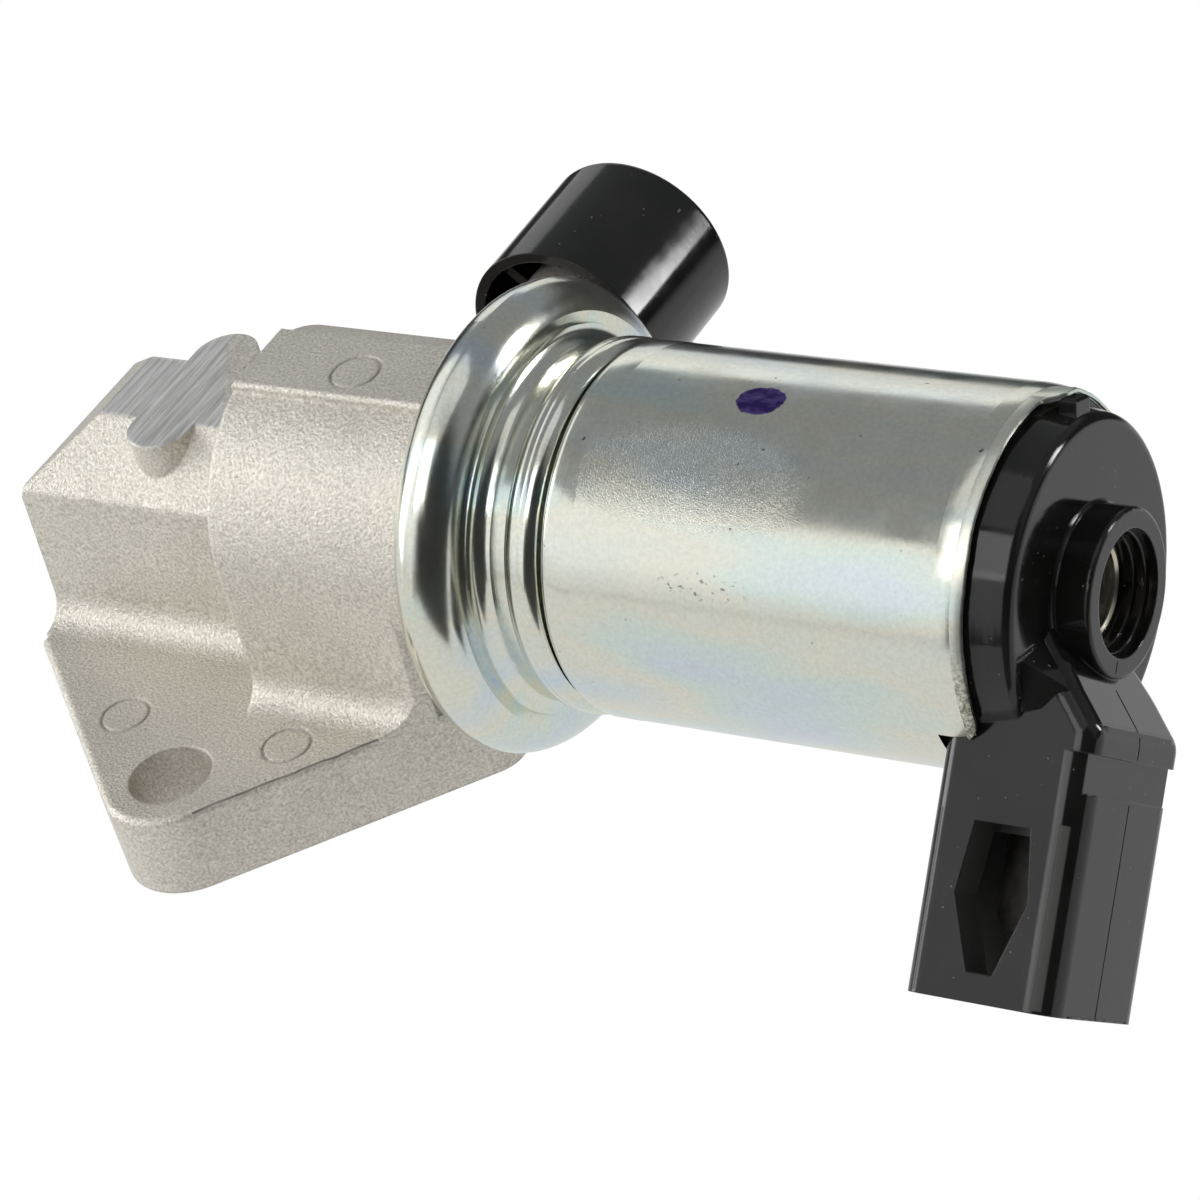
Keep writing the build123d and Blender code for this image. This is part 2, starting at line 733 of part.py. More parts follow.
def connector_shell():
    shape = Pos(shell_mid_x, 0) * Rectangle(shell_l, 2 * shell_half_e)
    shape = fillet(shape.vertices().group_by(Axis.X)[-1], shell_front_corner)
    shape = fillet(shape.vertices().group_by(Axis.X)[0], shell_back_corner)
    level = Plane(origin=(0, shell_root_d, 0), x_dir=(1, 0, 0), z_dir=(0, 1, 0))
    return extrude(level * shape, shell_tip_d - shell_root_d)


def connector():
    """Neck, gussets and shell, with the shallow band across the front."""
    body = connector_neck() + connector_shell() + gusset(1) + gusset(-1)
    band = Pos(shell_front_x + 1 - band_depth, (band_top_d + band_end_d) / 2, 0)
    band = band * Box(2, band_end_d - band_top_d, 3 * shell_half_e)
    return connector_frame(body - band)


def latch_window():
    """Elongated six-sided window through the thick wall of the shell."""
    half_top = window_top_w / 2
    half_mid = window_mid_w / 2
    half_low = window_low_w / 2
    shape = outline((half_top, window_top_d), (half_mid, window_mid_d), (half_low, window_low_d),
                    (-half_low, window_low_d), (-half_mid, window_mid_d), (-half_top, window_top_d))
    shape = Pos(shell_mid_x, 0) * shape
    cut = extrude(shape, (shell_half_e - latch_face_e + 2) / 2, both=True)
    return connector_frame(cut, (shell_half_e + latch_face_e) / 2)


def socket():
    """Inside of the connector shell, open at the tip."""
    width = shell_l - 2 * socket_wall
    height = 2 * shell_half_e - socket_wall - socket_latch_wall
    shape = RectangleRounded(width, height, 1.5)
    place = connector_plane * Pos(shell_mid_x, pin_e, shell_tip_d - socket_depth)
    return extrude(place * shape, socket_depth + 1)


def cap_lug():
    """Small lug on the side of the cap that locates it when the can is crimped."""
    low = cap_front_r - 0.4
    block = Pos(lug_x + lug_l / 2, 0, low + lug_h) * Box(lug_l, lug_w, 2 * lug_h)
    block = chamfer(block.edges().group_by(Axis.Z)[-1], 0.25)
    return Pos(0, 0, axis_height) * Rot(-lug_clock, 0, 0) * block


def end_cap():
    cap = cap_disc() + connector() + cap_lug()
    cap = cap - socket() - latch_window()
    cap = cap - ring(boss_step_x, boss_front_x + 1, 0, boss_hole_r)
    cap = cap - ring(cap_plug_x - 1, boss_step_x + 1, 0, core_shoulder_r)
    seal_r = can_r - can_wall
    groove_end_x = cap_plug_x + 2 * cap_seal_section
    cap = cap - ring(cap_plug_x - 1, groove_end_x, seal_r - 2 * cap_seal_section, seal_r)
    cap = cap - solenoid_can()
    for index in (0, 1):
        cap = cap - terminal(index)
    return cap


def write(name, shape):
    shape.label = name
    export_step(shape, os.path.join("parts", name + ".step"))


def main():
    os.makedirs("parts", exist_ok=True)
    clip_a, clip_b, clip_c = clip_x_places()
    seal_ring_r = can_r - can_wall - cap_seal_section
    pieces = {
        "valve_body": valve_body(),
        "valve_seat": valve_seat(),
        "front_bush": bush(bush_x, front_bush_l),
        "bearing_carrier": bearing_carrier(),
        "rear_bush": bush(rear_bush_x, rear_bush_l),
        "inlet_cap": inlet_cap(),
        "mounting_collar": mounting_collar(),
        "body_seal": o_ring(flange_front_x - body_seal_section, body_seal_r, body_seal_section),
        "solenoid_can": solenoid_can(),
        "front_plate": front_plate(),
        "guide_tube": guide_tube(),
        "bobbin": bobbin(),
        "coil_winding": coil_winding(),
        "bobbin_washer": bobbin_washer(),
        "rear_plate": rear_plate(),
        "fixed_core": fixed_core(),
        "adjuster_screw": adjuster_screw(),
        "terminal_inner": terminal(0),
        "terminal_outer": terminal(1),
        "cap_seal": o_ring(cap_plug_x + cap_seal_section, seal_ring_r, cap_seal_section),
        "end_cap": end_cap(),
        "valve_shaft": valve_shaft(),
        "valve_poppet": valve_poppet(),
        "poppet_seal": poppet_seal(),
        "poppet_clip_front": shaft_clip(clip_a),
        "poppet_clip_rear": shaft_clip(clip_b),
        "spring_cup": spring_cup(),
        "cup_clip": shaft_clip(clip_c),
        "armature": armature(),
        "return_spring": coil_spring(pocket_floor_x, adjuster_x, return_coil_r,
                                     return_wire_r, return_turns),
        "balance_spring": coil_spring(bush_x + front_bush_l, cup_x, balance_coil_r,
                                      balance_wire_r, balance_turns),
    }
    for name, shape in pieces.items():
        write(name, shape)


main()
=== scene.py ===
# %% [markdown]
# # Idle air control valve
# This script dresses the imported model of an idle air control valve, a small solenoid valve
# that lets air past a closed throttle. The CAD solids keep their shapes and places. Here
# they get their finishes, and the small forms that a mould, a saw and a crimping tool
# leave behind are modelled on top of them.
# Everything is in metres, in the frame of the CAD: the origin is the centre of the
# mounting face, +X runs along the solenoid towards the connector, and +Z is up.

# %% Load the frame
import bpy
import math
from mathutils import Matrix, Vector
from mathutils import noise as smooth_noise
from mathutils.bvhtree import BVHTree


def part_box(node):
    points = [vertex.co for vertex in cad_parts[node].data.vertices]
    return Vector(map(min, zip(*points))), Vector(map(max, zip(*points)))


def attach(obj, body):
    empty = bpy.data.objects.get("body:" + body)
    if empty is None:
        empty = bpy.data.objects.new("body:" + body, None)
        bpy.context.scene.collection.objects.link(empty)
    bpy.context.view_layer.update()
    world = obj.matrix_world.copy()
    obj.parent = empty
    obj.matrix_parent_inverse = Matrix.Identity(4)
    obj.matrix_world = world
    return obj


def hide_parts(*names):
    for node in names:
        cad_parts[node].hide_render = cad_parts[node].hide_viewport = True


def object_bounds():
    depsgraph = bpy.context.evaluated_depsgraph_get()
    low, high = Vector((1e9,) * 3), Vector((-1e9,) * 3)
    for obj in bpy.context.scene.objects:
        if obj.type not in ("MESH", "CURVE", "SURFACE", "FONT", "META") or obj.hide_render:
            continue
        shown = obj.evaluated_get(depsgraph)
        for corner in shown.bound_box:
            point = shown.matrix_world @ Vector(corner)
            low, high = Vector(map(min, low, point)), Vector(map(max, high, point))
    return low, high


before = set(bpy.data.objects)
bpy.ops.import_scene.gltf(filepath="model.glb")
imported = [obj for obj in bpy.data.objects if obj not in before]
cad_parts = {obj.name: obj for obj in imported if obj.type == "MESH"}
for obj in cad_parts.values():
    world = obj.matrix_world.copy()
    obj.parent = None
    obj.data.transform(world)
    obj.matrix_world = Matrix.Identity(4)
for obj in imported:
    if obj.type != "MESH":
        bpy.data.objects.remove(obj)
cad_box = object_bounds()
print("CAD nodes:", len(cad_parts))

# %% [markdown]
# ## Sizes
# The few places that both looks and pieces depend on. The can's two ends are measured on
# the CAD, so that the added rims sit on them. Values multiplied by MM are in metres, and
# the rest are plain millimetres, which read better in node trees.

# %% Sizes
MM = 0.001
AXIS_Z = 23.0 * MM
CAN_R = 17.7
FRONT_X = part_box("solenoid_can")[0].x / MM
REAR_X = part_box("solenoid_can")[1].x / MM
AXIS_HEIGHT = AXIS_Z / MM
CREST_HEIGHT = 30.2
PLATE_TOP = 9.0
HALF_RIGHT_ANGLE = math.sqrt(0.5)
print("The can runs from x =", round(FRONT_X, 2), "to", round(REAR_X, 2), "mm")

# %% [markdown]
# ## Helpers for node materials
# A material could be drawn by hand in the node editor. In code, a few helpers that each
# add one node keep the recipes short. All patterns use Object coordinates: a CAD node's
# object sits at the origin, so these are places on the real part, and the pattern stays
# put when the part moves.


# %% Nodes and sockets
def new_material(name):
    material = bpy.data.materials.new(name)
    material.use_nodes = True
    tree = material.node_tree
    print("Material:", name)
    return material, tree, tree.nodes["Principled BSDF"]


def feed(tree, socket, value):
    """Gives a socket a colour, a number or another node's output."""
    if isinstance(value, tuple):
        socket.default_value = (*value, 1)
    elif isinstance(value, (int, float)):
        socket.default_value = value
    else:
        tree.links.new(value, socket)


def maths(tree, operation, *values):
    node = tree.nodes.new("ShaderNodeMath")
    node.operation = operation
    for socket, value in zip(node.inputs, values):
        feed(tree, socket, value)
    return node.outputs[0]


# %% [markdown]
# Coordinates come in millimetres. A stretch below 1 along an axis draws the grain out
# that way, which turns round grains into brush marks.


# %% Places
def millimetres(tree, stretch=(1, 1, 1)):
    coords = tree.nodes.new("ShaderNodeTexCoord")
    mapping = tree.nodes.new("ShaderNodeMapping")
    mapping.inputs["Scale"].default_value = [scale / MM for scale in stretch]
    tree.links.new(coords.outputs["Object"], mapping.inputs["Vector"])
    return mapping.outputs["Vector"]


def xyz(tree, vector):
    node = tree.nodes.new("ShaderNodeSeparateXYZ")
    tree.links.new(vector, node.inputs[0])
    return node.outputs["X"], node.outputs["Y"], node.outputs["Z"]


def smooth_step(tree, value, low, high):
    """0 at low and 1 at high, with soft ends; low may be the larger of the two."""
    node = tree.nodes.new("ShaderNodeMapRange")
    node.interpolation_type = "SMOOTHSTEP"
    node.inputs["From Min"].default_value = low
    node.inputs["From Max"].default_value = high
    tree.links.new(value, node.inputs["Value"])
    return node.outputs["Result"]


# %% [markdown]
# Noise gives grain, clouds and specks. A ramp turns it into colour or into roughness.


# %% Patterns and colours
def noise(tree, vector, grain, detail=3.0, rough=0.6):
    """Noise whose grain is about the given size in millimetres."""
    node = tree.nodes.new("ShaderNodeTexNoise")
    for socket, value in (("Scale", 1 / grain), ("Detail", detail), ("Roughness", rough)):
        node.inputs[socket].default_value = value
    tree.links.new(vector, node.inputs["Vector"])
    return node.outputs["Fac"]


def ramp(tree, factor, *stops):
    """Colour ramp through stops of (position, colour)."""
    node = tree.nodes.new("ShaderNodeValToRGB")
    elements = node.color_ramp.elements
    while len(elements) < len(stops):
        elements.new(0.5)
    for element, (position, colour) in zip(elements, stops):
        element.position = position
        element.color = (*colour, 1)
    tree.links.new(factor, node.inputs["Fac"])
    return node.outputs["Color"]


def grey_ramp(tree, factor, low, high, first, second):
    return ramp(tree, factor, (low, (first,) * 3), (high, (second,) * 3))


def mix_colour(tree, factor, first, second, blend="MIX"):
    node = tree.nodes.new("ShaderNodeMix")
    node.data_type = "RGBA"
    node.blend_type = blend
    for index, value in ((0, factor), (6, first), (7, second)):
        feed(tree, node.inputs[index], value)
    return node.outputs[2]


def multiply(tree, factor, first, second):
    return mix_colour(tree, factor, first, second, "MULTIPLY")


# %% [markdown]
# Bump is kept for grain of a few hundredths of a millimetre. The Bevel node only rounds
# the way light sees an edge, as blasting and moulding soften every edge a little.


# %% Relief
def bump(tree, height, depth, strength, before=None):
    """Bump of a stated depth in millimetres, chained after another one if there is one."""
    node = tree.nodes.new("ShaderNodeBump")
    node.inputs["Distance"].default_value = depth * MM
    node.inputs["Strength"].default_value = strength
    tree.links.new(height, node.inputs["Height"])
    if before is not None:
        tree.links.new(before, node.inputs["Normal"])
    return node.outputs["Normal"]


def soft_edges(tree, radius):
    node = tree.nodes.new("ShaderNodeBevel")
    node.samples = 4
    node.inputs["Radius"].default_value = radius * MM
    return node.outputs["Normal"]


# %% [markdown]
# ## Cast aluminium
# The body is a die casting that was blasted, so it is warm light grey with a fine,
# sparkling grain. The sprue, through which the metal was poured, was sawn off level with
# the crest, which leaves brushed, brighter metal with scratches across the body. Both
# looks share one material, and a mask made from the place on the part tells them apart,
# because the CAD has them as one solid.

# %% Where the saw passed
SAWN_DEPTH = 0.12
SAWN_EAST = -3.2
SAWN_SLANT = 0.55
SAWN_RAGGED = 3.0
SAWN_EDGE = 0.4


def sawn_mask(tree, place):
    """1 on the sawn sprue and on the west part of the crest, up to a ragged slanting edge."""
    x, y, z = xyz(tree, place)
    at_crest = smooth_step(tree, z, CREST_HEIGHT - SAWN_DEPTH, CREST_HEIGHT - SAWN_DEPTH / 4)
    below_pad = smooth_step(tree, z, CREST_HEIGHT + 0.4, CREST_HEIGHT + 0.2)
    streaks = noise(tree, millimetres(tree, (0.08, 1, 1)), grain=0.5)
    ragged = maths(tree, "MULTIPLY", streaks, SAWN_RAGGED)
    slant = maths(tree, "ADD", maths(tree, "MULTIPLY", y, SAWN_SLANT), x)
    east = smooth_step(tree, maths(tree, "ADD", slant, ragged),
                       SAWN_EAST + SAWN_EDGE, SAWN_EAST - SAWN_EDGE)
    return maths(tree, "MULTIPLY", maths(tree, "MULTIPLY", at_crest, below_pad), east)


# %% Cast aluminium
CAST_DARK, CAST_LIGHT = (0.455, 0.424, 0.365), (0.785, 0.745, 0.665)
SAWN_DARK, SAWN_LIGHT = (0.48, 0.472, 0.45), (0.90, 0.895, 0.87)
CAST_METALLIC = 0.70
CAST_ROUGHNESS, SAWN_ROUGHNESS = 0.43, 0.36
CAST_EDGE = 0.45


def cast_aluminium():
    material, tree, shader = new_material("cast_aluminium")
    place = millimetres(tree)
    grain = noise(tree, place, grain=0.30)
    patches = noise(tree, place, grain=7.0)
    pits = noise(tree, place, grain=0.8, detail=2.0, rough=0.5)
    cast = ramp(tree, grain, (0.30, CAST_DARK), (0.66, CAST_LIGHT))
    cast = multiply(tree, 1.0, cast, grey_ramp(tree, patches, 0.3, 0.7, 0.90, 1.0))
    cast = multiply(tree, 1.0, cast, grey_ramp(tree, pits, 0.22, 0.27, 0.55, 1.0))

    sawn = sawn_mask(tree, place)
    streaks = noise(tree, millimetres(tree, (1, 0.05, 1)), grain=0.35)
    brushed = ramp(tree, streaks, (0.35, SAWN_DARK), (0.72, SAWN_LIGHT))
    feed(tree, shader.inputs["Base Color"], mix_colour(tree, sawn, cast, brushed))
    feed(tree, shader.inputs["Metallic"], CAST_METALLIC)
    rough = mix_colour(tree, sawn, (CAST_ROUGHNESS,) * 3, (SAWN_ROUGHNESS,) * 3)
    feed(tree, shader.inputs["Roughness"], rough)

    edges = soft_edges(tree, CAST_EDGE)
    normal = tree.nodes.new("ShaderNodeMix")
    normal.data_type = "VECTOR"
    feed(tree, normal.inputs[0], sawn)
    pitted = bump(tree, pits, depth=0.10, strength=0.35, before=edges)
    feed(tree, normal.inputs[4], bump(tree, grain, depth=0.15, strength=0.85, before=pitted))
    feed(tree, normal.inputs[5], bump(tree, streaks, depth=0.05, strength=0.5, before=edges))
    feed(tree, shader.inputs["Normal"], normal.outputs[1])
    return material


# %% [markdown]
# ## Zinc plate
# The collar and the can are drawn steel with a bright passivated zinc plate. It is pale,
# with weak bands of blue, green and yellow, where the passivation is thinner or thicker.
# The shader's thin film setting can make such colours, but they are hard to hold back. A
# ramp of six tints on a slow noise keeps them weak and puts them where they are wanted.

# %% Tints of the plate
TINTS = ((0.30, (0.64, 0.73, 0.79)), (0.42, (0.74, 0.77, 0.70)), (0.50, (0.78, 0.77, 0.66)),
         (0.58, (0.69, 0.78, 0.72)), (0.68, (0.66, 0.74, 0.80)), (0.78, (0.75, 0.70, 0.76)))


def zinc_colour(tree, place):
    """Tinted bands with fine speckle and a few dark pits."""
    bands = noise(tree, millimetres(tree, (0.3, 1, 1)), grain=11.0, detail=2.5, rough=0.5)
    speckle = noise(tree, place, grain=0.45, detail=4.0, rough=0.7)
    colour = multiply(tree, 0.6, ramp(tree, bands, *TINTS),
                      grey_ramp(tree, speckle, 0.30, 0.62, 0.82, 1.0))
    pits = noise(tree, place, grain=1.1, detail=1.0, rough=0.5)
    return multiply(tree, 1.0, colour, grey_ramp(tree, pits, 0.19, 0.22, 0.30, 1.0))


# %% [markdown]
# The can has marks of its own: a dab of purple ink, a frosted area and a row of scuffs.
# Each is placed by its distance along the can and its angle round the axis, counted up
# from the front. On a real can they lie on one side only, so the far side is masked.
# They could be painted on an image, but an image needs a flat layout of the can, and
# three short formulas do not.


# %% Places round the can
def round_can(tree, place, centre_x, angle):
    """Distances along and round the can from a spot, and 1 on that side of the can."""
    x, y, z = xyz(tree, place)
    turn = math.radians(angle)
    lift = maths(tree, "SUBTRACT", z, AXIS_HEIGHT)
    sideways = maths(tree, "ADD", maths(tree, "MULTIPLY", y, math.sin(turn)),
                     maths(tree, "MULTIPLY", lift, math.cos(turn)))
    outward = maths(tree, "ADD", maths(tree, "MULTIPLY", y, -math.cos(turn)),
                    maths(tree, "MULTIPLY", lift, math.sin(turn)))
    along = maths(tree, "SUBTRACT", x, centre_x)
    return along, sideways, maths(tree, "GREATER_THAN", outward, 0)


def oval(tree, along, sideways, length, width):
    """Squared distance that is 1 on the rim of an oval with these half axes."""
    first = maths(tree, "DIVIDE", along, length)
    second = maths(tree, "DIVIDE", sideways, width)
    return maths(tree, "ADD", maths(tree, "MULTIPLY", first, first),
                 maths(tree, "MULTIPLY", second, second))


def soft_patch(tree, place, centre_x, angle, length, width):
    """Soft oval on the can: 1 at its centre, 0 outside."""
    along, sideways, near_side = round_can(tree, place, centre_x, angle)
    away = oval(tree, along, sideways, length, width)
    return maths(tree, "MULTIPLY", smooth_step(tree, away, 1.0, 0.35), near_side)


# %% Marks of the can
DAB = {"centre_x": 59.3, "angle": 87.6}
DAB_LENGTH, DAB_WIDTH = 2.6, 2.05
INK_DARK, INK_LIGHT = (0.055, 0.028, 0.20), (0.20, 0.14, 0.42)
FROST = {"centre_x": 56.0, "angle": 58.0, "length": 15.0, "width": 7.0}
SCUFF = {"centre_x": 58.6, "angle": 27.0, "length": 5.5, "width": 1.5}
SCUFF_COLOUR = (0.20, 0.20, 0.19)


def ink_dab(tree, place, colour):
    """Purple ink, with brush strokes and an edge made ragged by noise."""
    along, sideways, near_side = round_can(tree, place, **DAB)
    ragged = maths(tree, "MULTIPLY", noise(tree, place, grain=0.9), 0.5)
    distance = maths(tree, "ADD", oval(tree, along, sideways, DAB_LENGTH, DAB_WIDTH), ragged)
    inside = maths(tree, "MULTIPLY", smooth_step(tree, distance, 1.15, 1.02), near_side)
    strokes = noise(tree, millimetres(tree, (0.5, 1, 1)), grain=0.8, detail=2.0)
    ink = ramp(tree, strokes, (0.40, INK_DARK), (0.68, INK_LIGHT))
    return mix_colour(tree, inside, colour, ink)


def scuffs(tree, place, colour):
    """A short row of dark specks."""
    specks = noise(tree, millimetres(tree, (0.6, 1, 1)), grain=0.38, detail=2.0)
    specks = maths(tree, "MULTIPLY", grey_ramp(tree, specks, 0.60, 0.64, 0.0, 0.8),
                   soft_patch(tree, place, **SCUFF))
    return mix_colour(tree, specks, colour, SCUFF_COLOUR)


# %% [markdown]
# The rolled edge of the can was worked hard. On its low side the plate has flaked, which
# leaves a dull, mottled strip. It is the same plate with one more layer, switched on by
# a flag, so that the two stay alike everywhere else.

# %% Zinc plate
FLAKE_DARK, FLAKE_LIGHT = (0.20, 0.20, 0.15), (0.82, 0.80, 0.68)
WORKED_ROUGHNESS = 0.34


def flaked(tree, place, colour):
    """Colour and roughness of the worked edge: mottled low down, satin above."""
    flakes = noise(tree, place, grain=0.42, rough=0.7)
    low_side = smooth_step(tree, xyz(tree, place)[2], AXIS_HEIGHT + 9, AXIS_HEIGHT - 1)
    mottle = ramp(tree, flakes, (0.38, FLAKE_DARK), (0.64, FLAKE_LIGHT))
    rough = mix_colour(tree, low_side, (WORKED_ROUGHNESS,) * 3,
                       grey_ramp(tree, flakes, 0.3, 0.7, 0.5, 0.3))
    return mix_colour(tree, low_side, colour, mottle), rough


def zinc_plate(name, with_marks=False, mottled=False):
    material, tree, shader = new_material(name)
    place = millimetres(tree)
    colour = zinc_colour(tree, place)
    rough = grey_ramp(tree, noise(tree, place, grain=5.0), 0.3, 0.7, 0.13, 0.22)
    relief = bump(tree, noise(tree, place, grain=0.42), depth=0.010, strength=0.30)
    if with_marks:
        colour = scuffs(tree, place, ink_dab(tree, place, colour))
        frost = maths(tree, "MULTIPLY", noise(tree, place, grain=0.17, detail=2.0),
                      soft_patch(tree, place, **FROST))
        relief = bump(tree, frost, depth=0.040, strength=0.9, before=relief)
    if mottled:
        colour, rough = flaked(tree, place, colour)
    turning = noise(tree, millimetres(tree, (1, 0.02, 0.02)), grain=0.30, detail=2.0)
    feed(tree, shader.inputs["Base Color"], colour)
    feed(tree, shader.inputs["Metallic"], 1.0)
    feed(tree, shader.inputs["Roughness"], rough)
    feed(tree, shader.inputs["Normal"],
         bump(tree, turning, depth=0.010, strength=0.30, before=relief))
    return material


# %% [markdown]
# ## Black nylon
# The end cap and the inlet cap are glossy black mouldings with flow marks, fine waves and
# a few specks of dust. Inside the latch window and the socket the mould was not polished,
# so a second mask makes the walls there matt and paints them a lighter grey, as painted
# light on those walls. It works in the connector's own directions: "down" along the shell,
# which leans 45 degrees to the front, and "out" across it.

# %% Inside of the connector
SHELL_X, SHELL_LENGTH_X = 80.5, 14.6
SHELL_FACE = 9.2
WINDOW_TOP, SHELL_TIP = 21.0, 37.3


def window_mask(tree, place):
    """1 on the walls of the latch window and inside the socket, 0 on the outer faces."""
    x, y, z = xyz(tree, place)
    lift = maths(tree, "SUBTRACT", z, AXIS_HEIGHT)
    out = maths(tree, "MULTIPLY", maths(tree, "SUBTRACT", lift, y), HALF_RIGHT_ANGLE)
    down = maths(tree, "MULTIPLY", maths(tree, "ADD", lift, y), -HALF_RIGHT_ANGLE)
    end_x = SHELL_X + SHELL_LENGTH_X
    limits = ((out, SHELL_FACE - 0.08, SHELL_FACE - 0.16),
              (out, 0.6 - SHELL_FACE, 1.0 - SHELL_FACE),
              (down, WINDOW_TOP, WINDOW_TOP + 0.2), (down, SHELL_TIP, SHELL_TIP - 0.2),
              (x, SHELL_X + 1.0, SHELL_X + 1.2), (x, end_x - 1.0, end_x - 1.2))
    mask = 1.0
    for value, edge, inside in limits:
        mask = maths(tree, "MULTIPLY", mask, smooth_step(tree, value, edge, inside))
    return mask


# %% Black nylon
NYLON_DARK, NYLON_LIGHT = (0.005, 0.005, 0.0045), (0.011, 0.0105, 0.010)
DUST = (0.20, 0.19, 0.18)
WALL_PAINTED_LIGHT = (0.055, 0.053, 0.05)
MATT_ROUGHNESS = 0.6
NYLON_SPECULAR = 0.45
NYLON_EDGE = 0.22


def black_nylon(name, roughness, with_window=False):
    material, tree, shader = new_material(name)
    place = millimetres(tree)
    clouds = noise(tree, place, grain=9.0, detail=2.0)
    tone = ramp(tree, clouds, (0.3, NYLON_DARK), (0.7, NYLON_LIGHT))
    dust = noise(tree, place, grain=0.55, detail=1.0, rough=0.5)
    tone = mix_colour(tree, grey_ramp(tree, dust, 0.765, 0.785, 0.0, 0.5), tone, DUST)
    rough = grey_ramp(tree, noise(tree, place, grain=3.0), 0.3, 0.7,
                      roughness - 0.03, roughness + 0.05)
    if with_window:
        inside = window_mask(tree, place)
        # Painted light: the walls inside the window and socket get a lighter grey than the nylon.
        tone = mix_colour(tree, inside, tone, WALL_PAINTED_LIGHT)
        rough = mix_colour(tree, inside, rough, (MATT_ROUGHNESS,) * 3)
    feed(tree, shader.inputs["Base Color"], tone)
    feed(tree, shader.inputs["Roughness"], rough)
    feed(tree, shader.inputs["Specular IOR Level"], NYLON_SPECULAR)
    flow = noise(tree, millimetres(tree, (1, 0.12, 0.12)), grain=1.6, detail=2.0)
    waves = bump(tree, flow, depth=0.05, strength=0.25, before=soft_edges(tree, NYLON_EDGE))
    fine = bump(tree, noise(tree, place, grain=0.5), depth=0.006, strength=0.3, before=waves)
    feed(tree, shader.inputs["Normal"], fine)
    return material


# %% [markdown]
# ## Plain metals, rubber and natural nylon
# Most inner pieces are turned on a lathe, so they carry fine rings round the axis. Rings
# that fine would cost far too many faces, so a noise drawn out across the axis stands for
# them. Terminals are rolled and tinned, which leaves them dull.


# %% Plain metals
def plain_metal(name, dark, light, roughness, is_turned=True):
    material, tree, shader = new_material(name)
    lines = noise(tree, millimetres(tree, (1, 0.04, 0.04) if is_turned else (1, 1, 1)), grain=0.25)
    feed(tree, shader.inputs["Base Color"], ramp(tree, lines, (0.3, dark), (0.7, light)))
    feed(tree, shader.inputs["Metallic"], 1.0)
    feed(tree, shader.inputs["Roughness"],
         grey_ramp(tree, lines, 0.3, 0.7, roughness - 0.05, roughness + 0.08))
    feed(tree, shader.inputs["Normal"], bump(tree, lines, depth=0.02, strength=0.4))
    return material


def dull_metal(name, dark, light, roughness):
    material, tree, shader = new_material(name)
    clouds = noise(tree, millimetres(tree), grain=1.5, detail=2.0)
    feed(tree, shader.inputs["Base Color"], ramp(tree, clouds, (0.3, dark), (0.7, light)))
    feed(tree, shader.inputs["Metallic"], 1.0)
    feed(tree, shader.inputs["Roughness"], roughness)
    return material


# %% Soft materials
def soft_material(name, dark, light, roughness):
    """Rubber, natural nylon and the painted shade of the plate's seam: not metallic, slightly
    mottled.
    """
    material, tree, shader = new_material(name)
    place = millimetres(tree)
    mottle = noise(tree, place, grain=2.0)
    feed(tree, shader.inputs["Base Color"], ramp(tree, mottle, (0.3, dark), (0.7, light)))
    feed(tree, shader.inputs["Roughness"],
         grey_ramp(tree, mottle, 0.3, 0.7, roughness - 0.05, roughness + 0.05))
    pores = noise(tree, place, grain=0.3, detail=2.0)
    feed(tree, shader.inputs["Normal"], bump(tree, pores, depth=0.03, strength=0.4))
    return material


# %% [markdown]
# ## Which node gets which finish
# The slot of each node says what it is made of. The finish is put into the slots that the
# CAD already has, so nothing about the solids changes.

# %% Finishes
cast_finish = cast_aluminium()
zinc_can = zinc_plate("zinc_can", with_marks=True)
nylon_black = black_nylon("black_nylon", 0.09, with_window=True)
brass = plain_metal("brass", (0.55, 0.38, 0.16), (0.84, 0.66, 0.36), 0.26)
steel = plain_metal("turned_steel", (0.36, 0.36, 0.37), (0.62, 0.62, 0.62), 0.28)
wire = plain_metal("spring_wire", (0.40, 0.40, 0.40), (0.62, 0.62, 0.62), 0.30, is_turned=False)
tin = dull_metal("tinned_brass", (0.17, 0.16, 0.14), (0.27, 0.255, 0.23), 0.35)
copper = plain_metal("enamelled_copper", (0.30, 0.10, 0.03), (0.60, 0.26, 0.10), 0.32)
rubber = soft_material("seal_rubber", (0.012, 0.012, 0.012), (0.03, 0.03, 0.03), 0.6)
nylon = soft_material("natural_nylon", (0.58, 0.54, 0.42), (0.70, 0.66, 0.54), 0.5)

# %% Assign the finishes
groups = (
    (cast_finish, ("valve_body",)),
    (zinc_plate("zinc_collar"), ("mounting_collar",)),
    (zinc_can, ("solenoid_can",)),
    (nylon_black, ("end_cap",)),
    (black_nylon("glossy_black_nylon", 0.10), ("inlet_cap",)),
    (brass, ("valve_seat", "front_bush", "rear_bush", "guide_tube")),
    (steel, ("valve_shaft", "spring_cup", "armature", "front_plate", "rear_plate", "fixed_core",
             "adjuster_screw", "bearing_carrier")),
    (wire, ("return_spring", "balance_spring", "bobbin_washer", "poppet_clip_front",
            "poppet_clip_rear", "cup_clip")),
    (tin, ("terminal_inner", "terminal_outer")),
    (copper, ("coil_winding",)),
    (rubber, ("body_seal", "cap_seal", "poppet_seal")),
    (nylon, ("bobbin", "valve_poppet")),
)
for finish, names in groups:
    for name in names:
        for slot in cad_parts[name].material_slots:
            slot.material = finish
print("Nodes with a finish:", sum(len(names) for finish, names in groups))

# %% [markdown]
# ## Helpers for the added pieces
# Each piece starts from a primitive, takes its form in edit mode and ends at the origin
# with its place in its mesh. The CAD is still selected after loading, and operators act
# on all that is selected, so everything is deselected first.


# %% Start and end of a piece
def start_piece(add_primitive, **settings):
    bpy.ops.object.select_all(action="DESELECT")
    add_primitive(location=(0, 0, 0), **settings)
    return bpy.context.object


def edit_all():
    bpy.ops.object.mode_set(mode="EDIT")
    bpy.ops.mesh.select_all(action="SELECT")


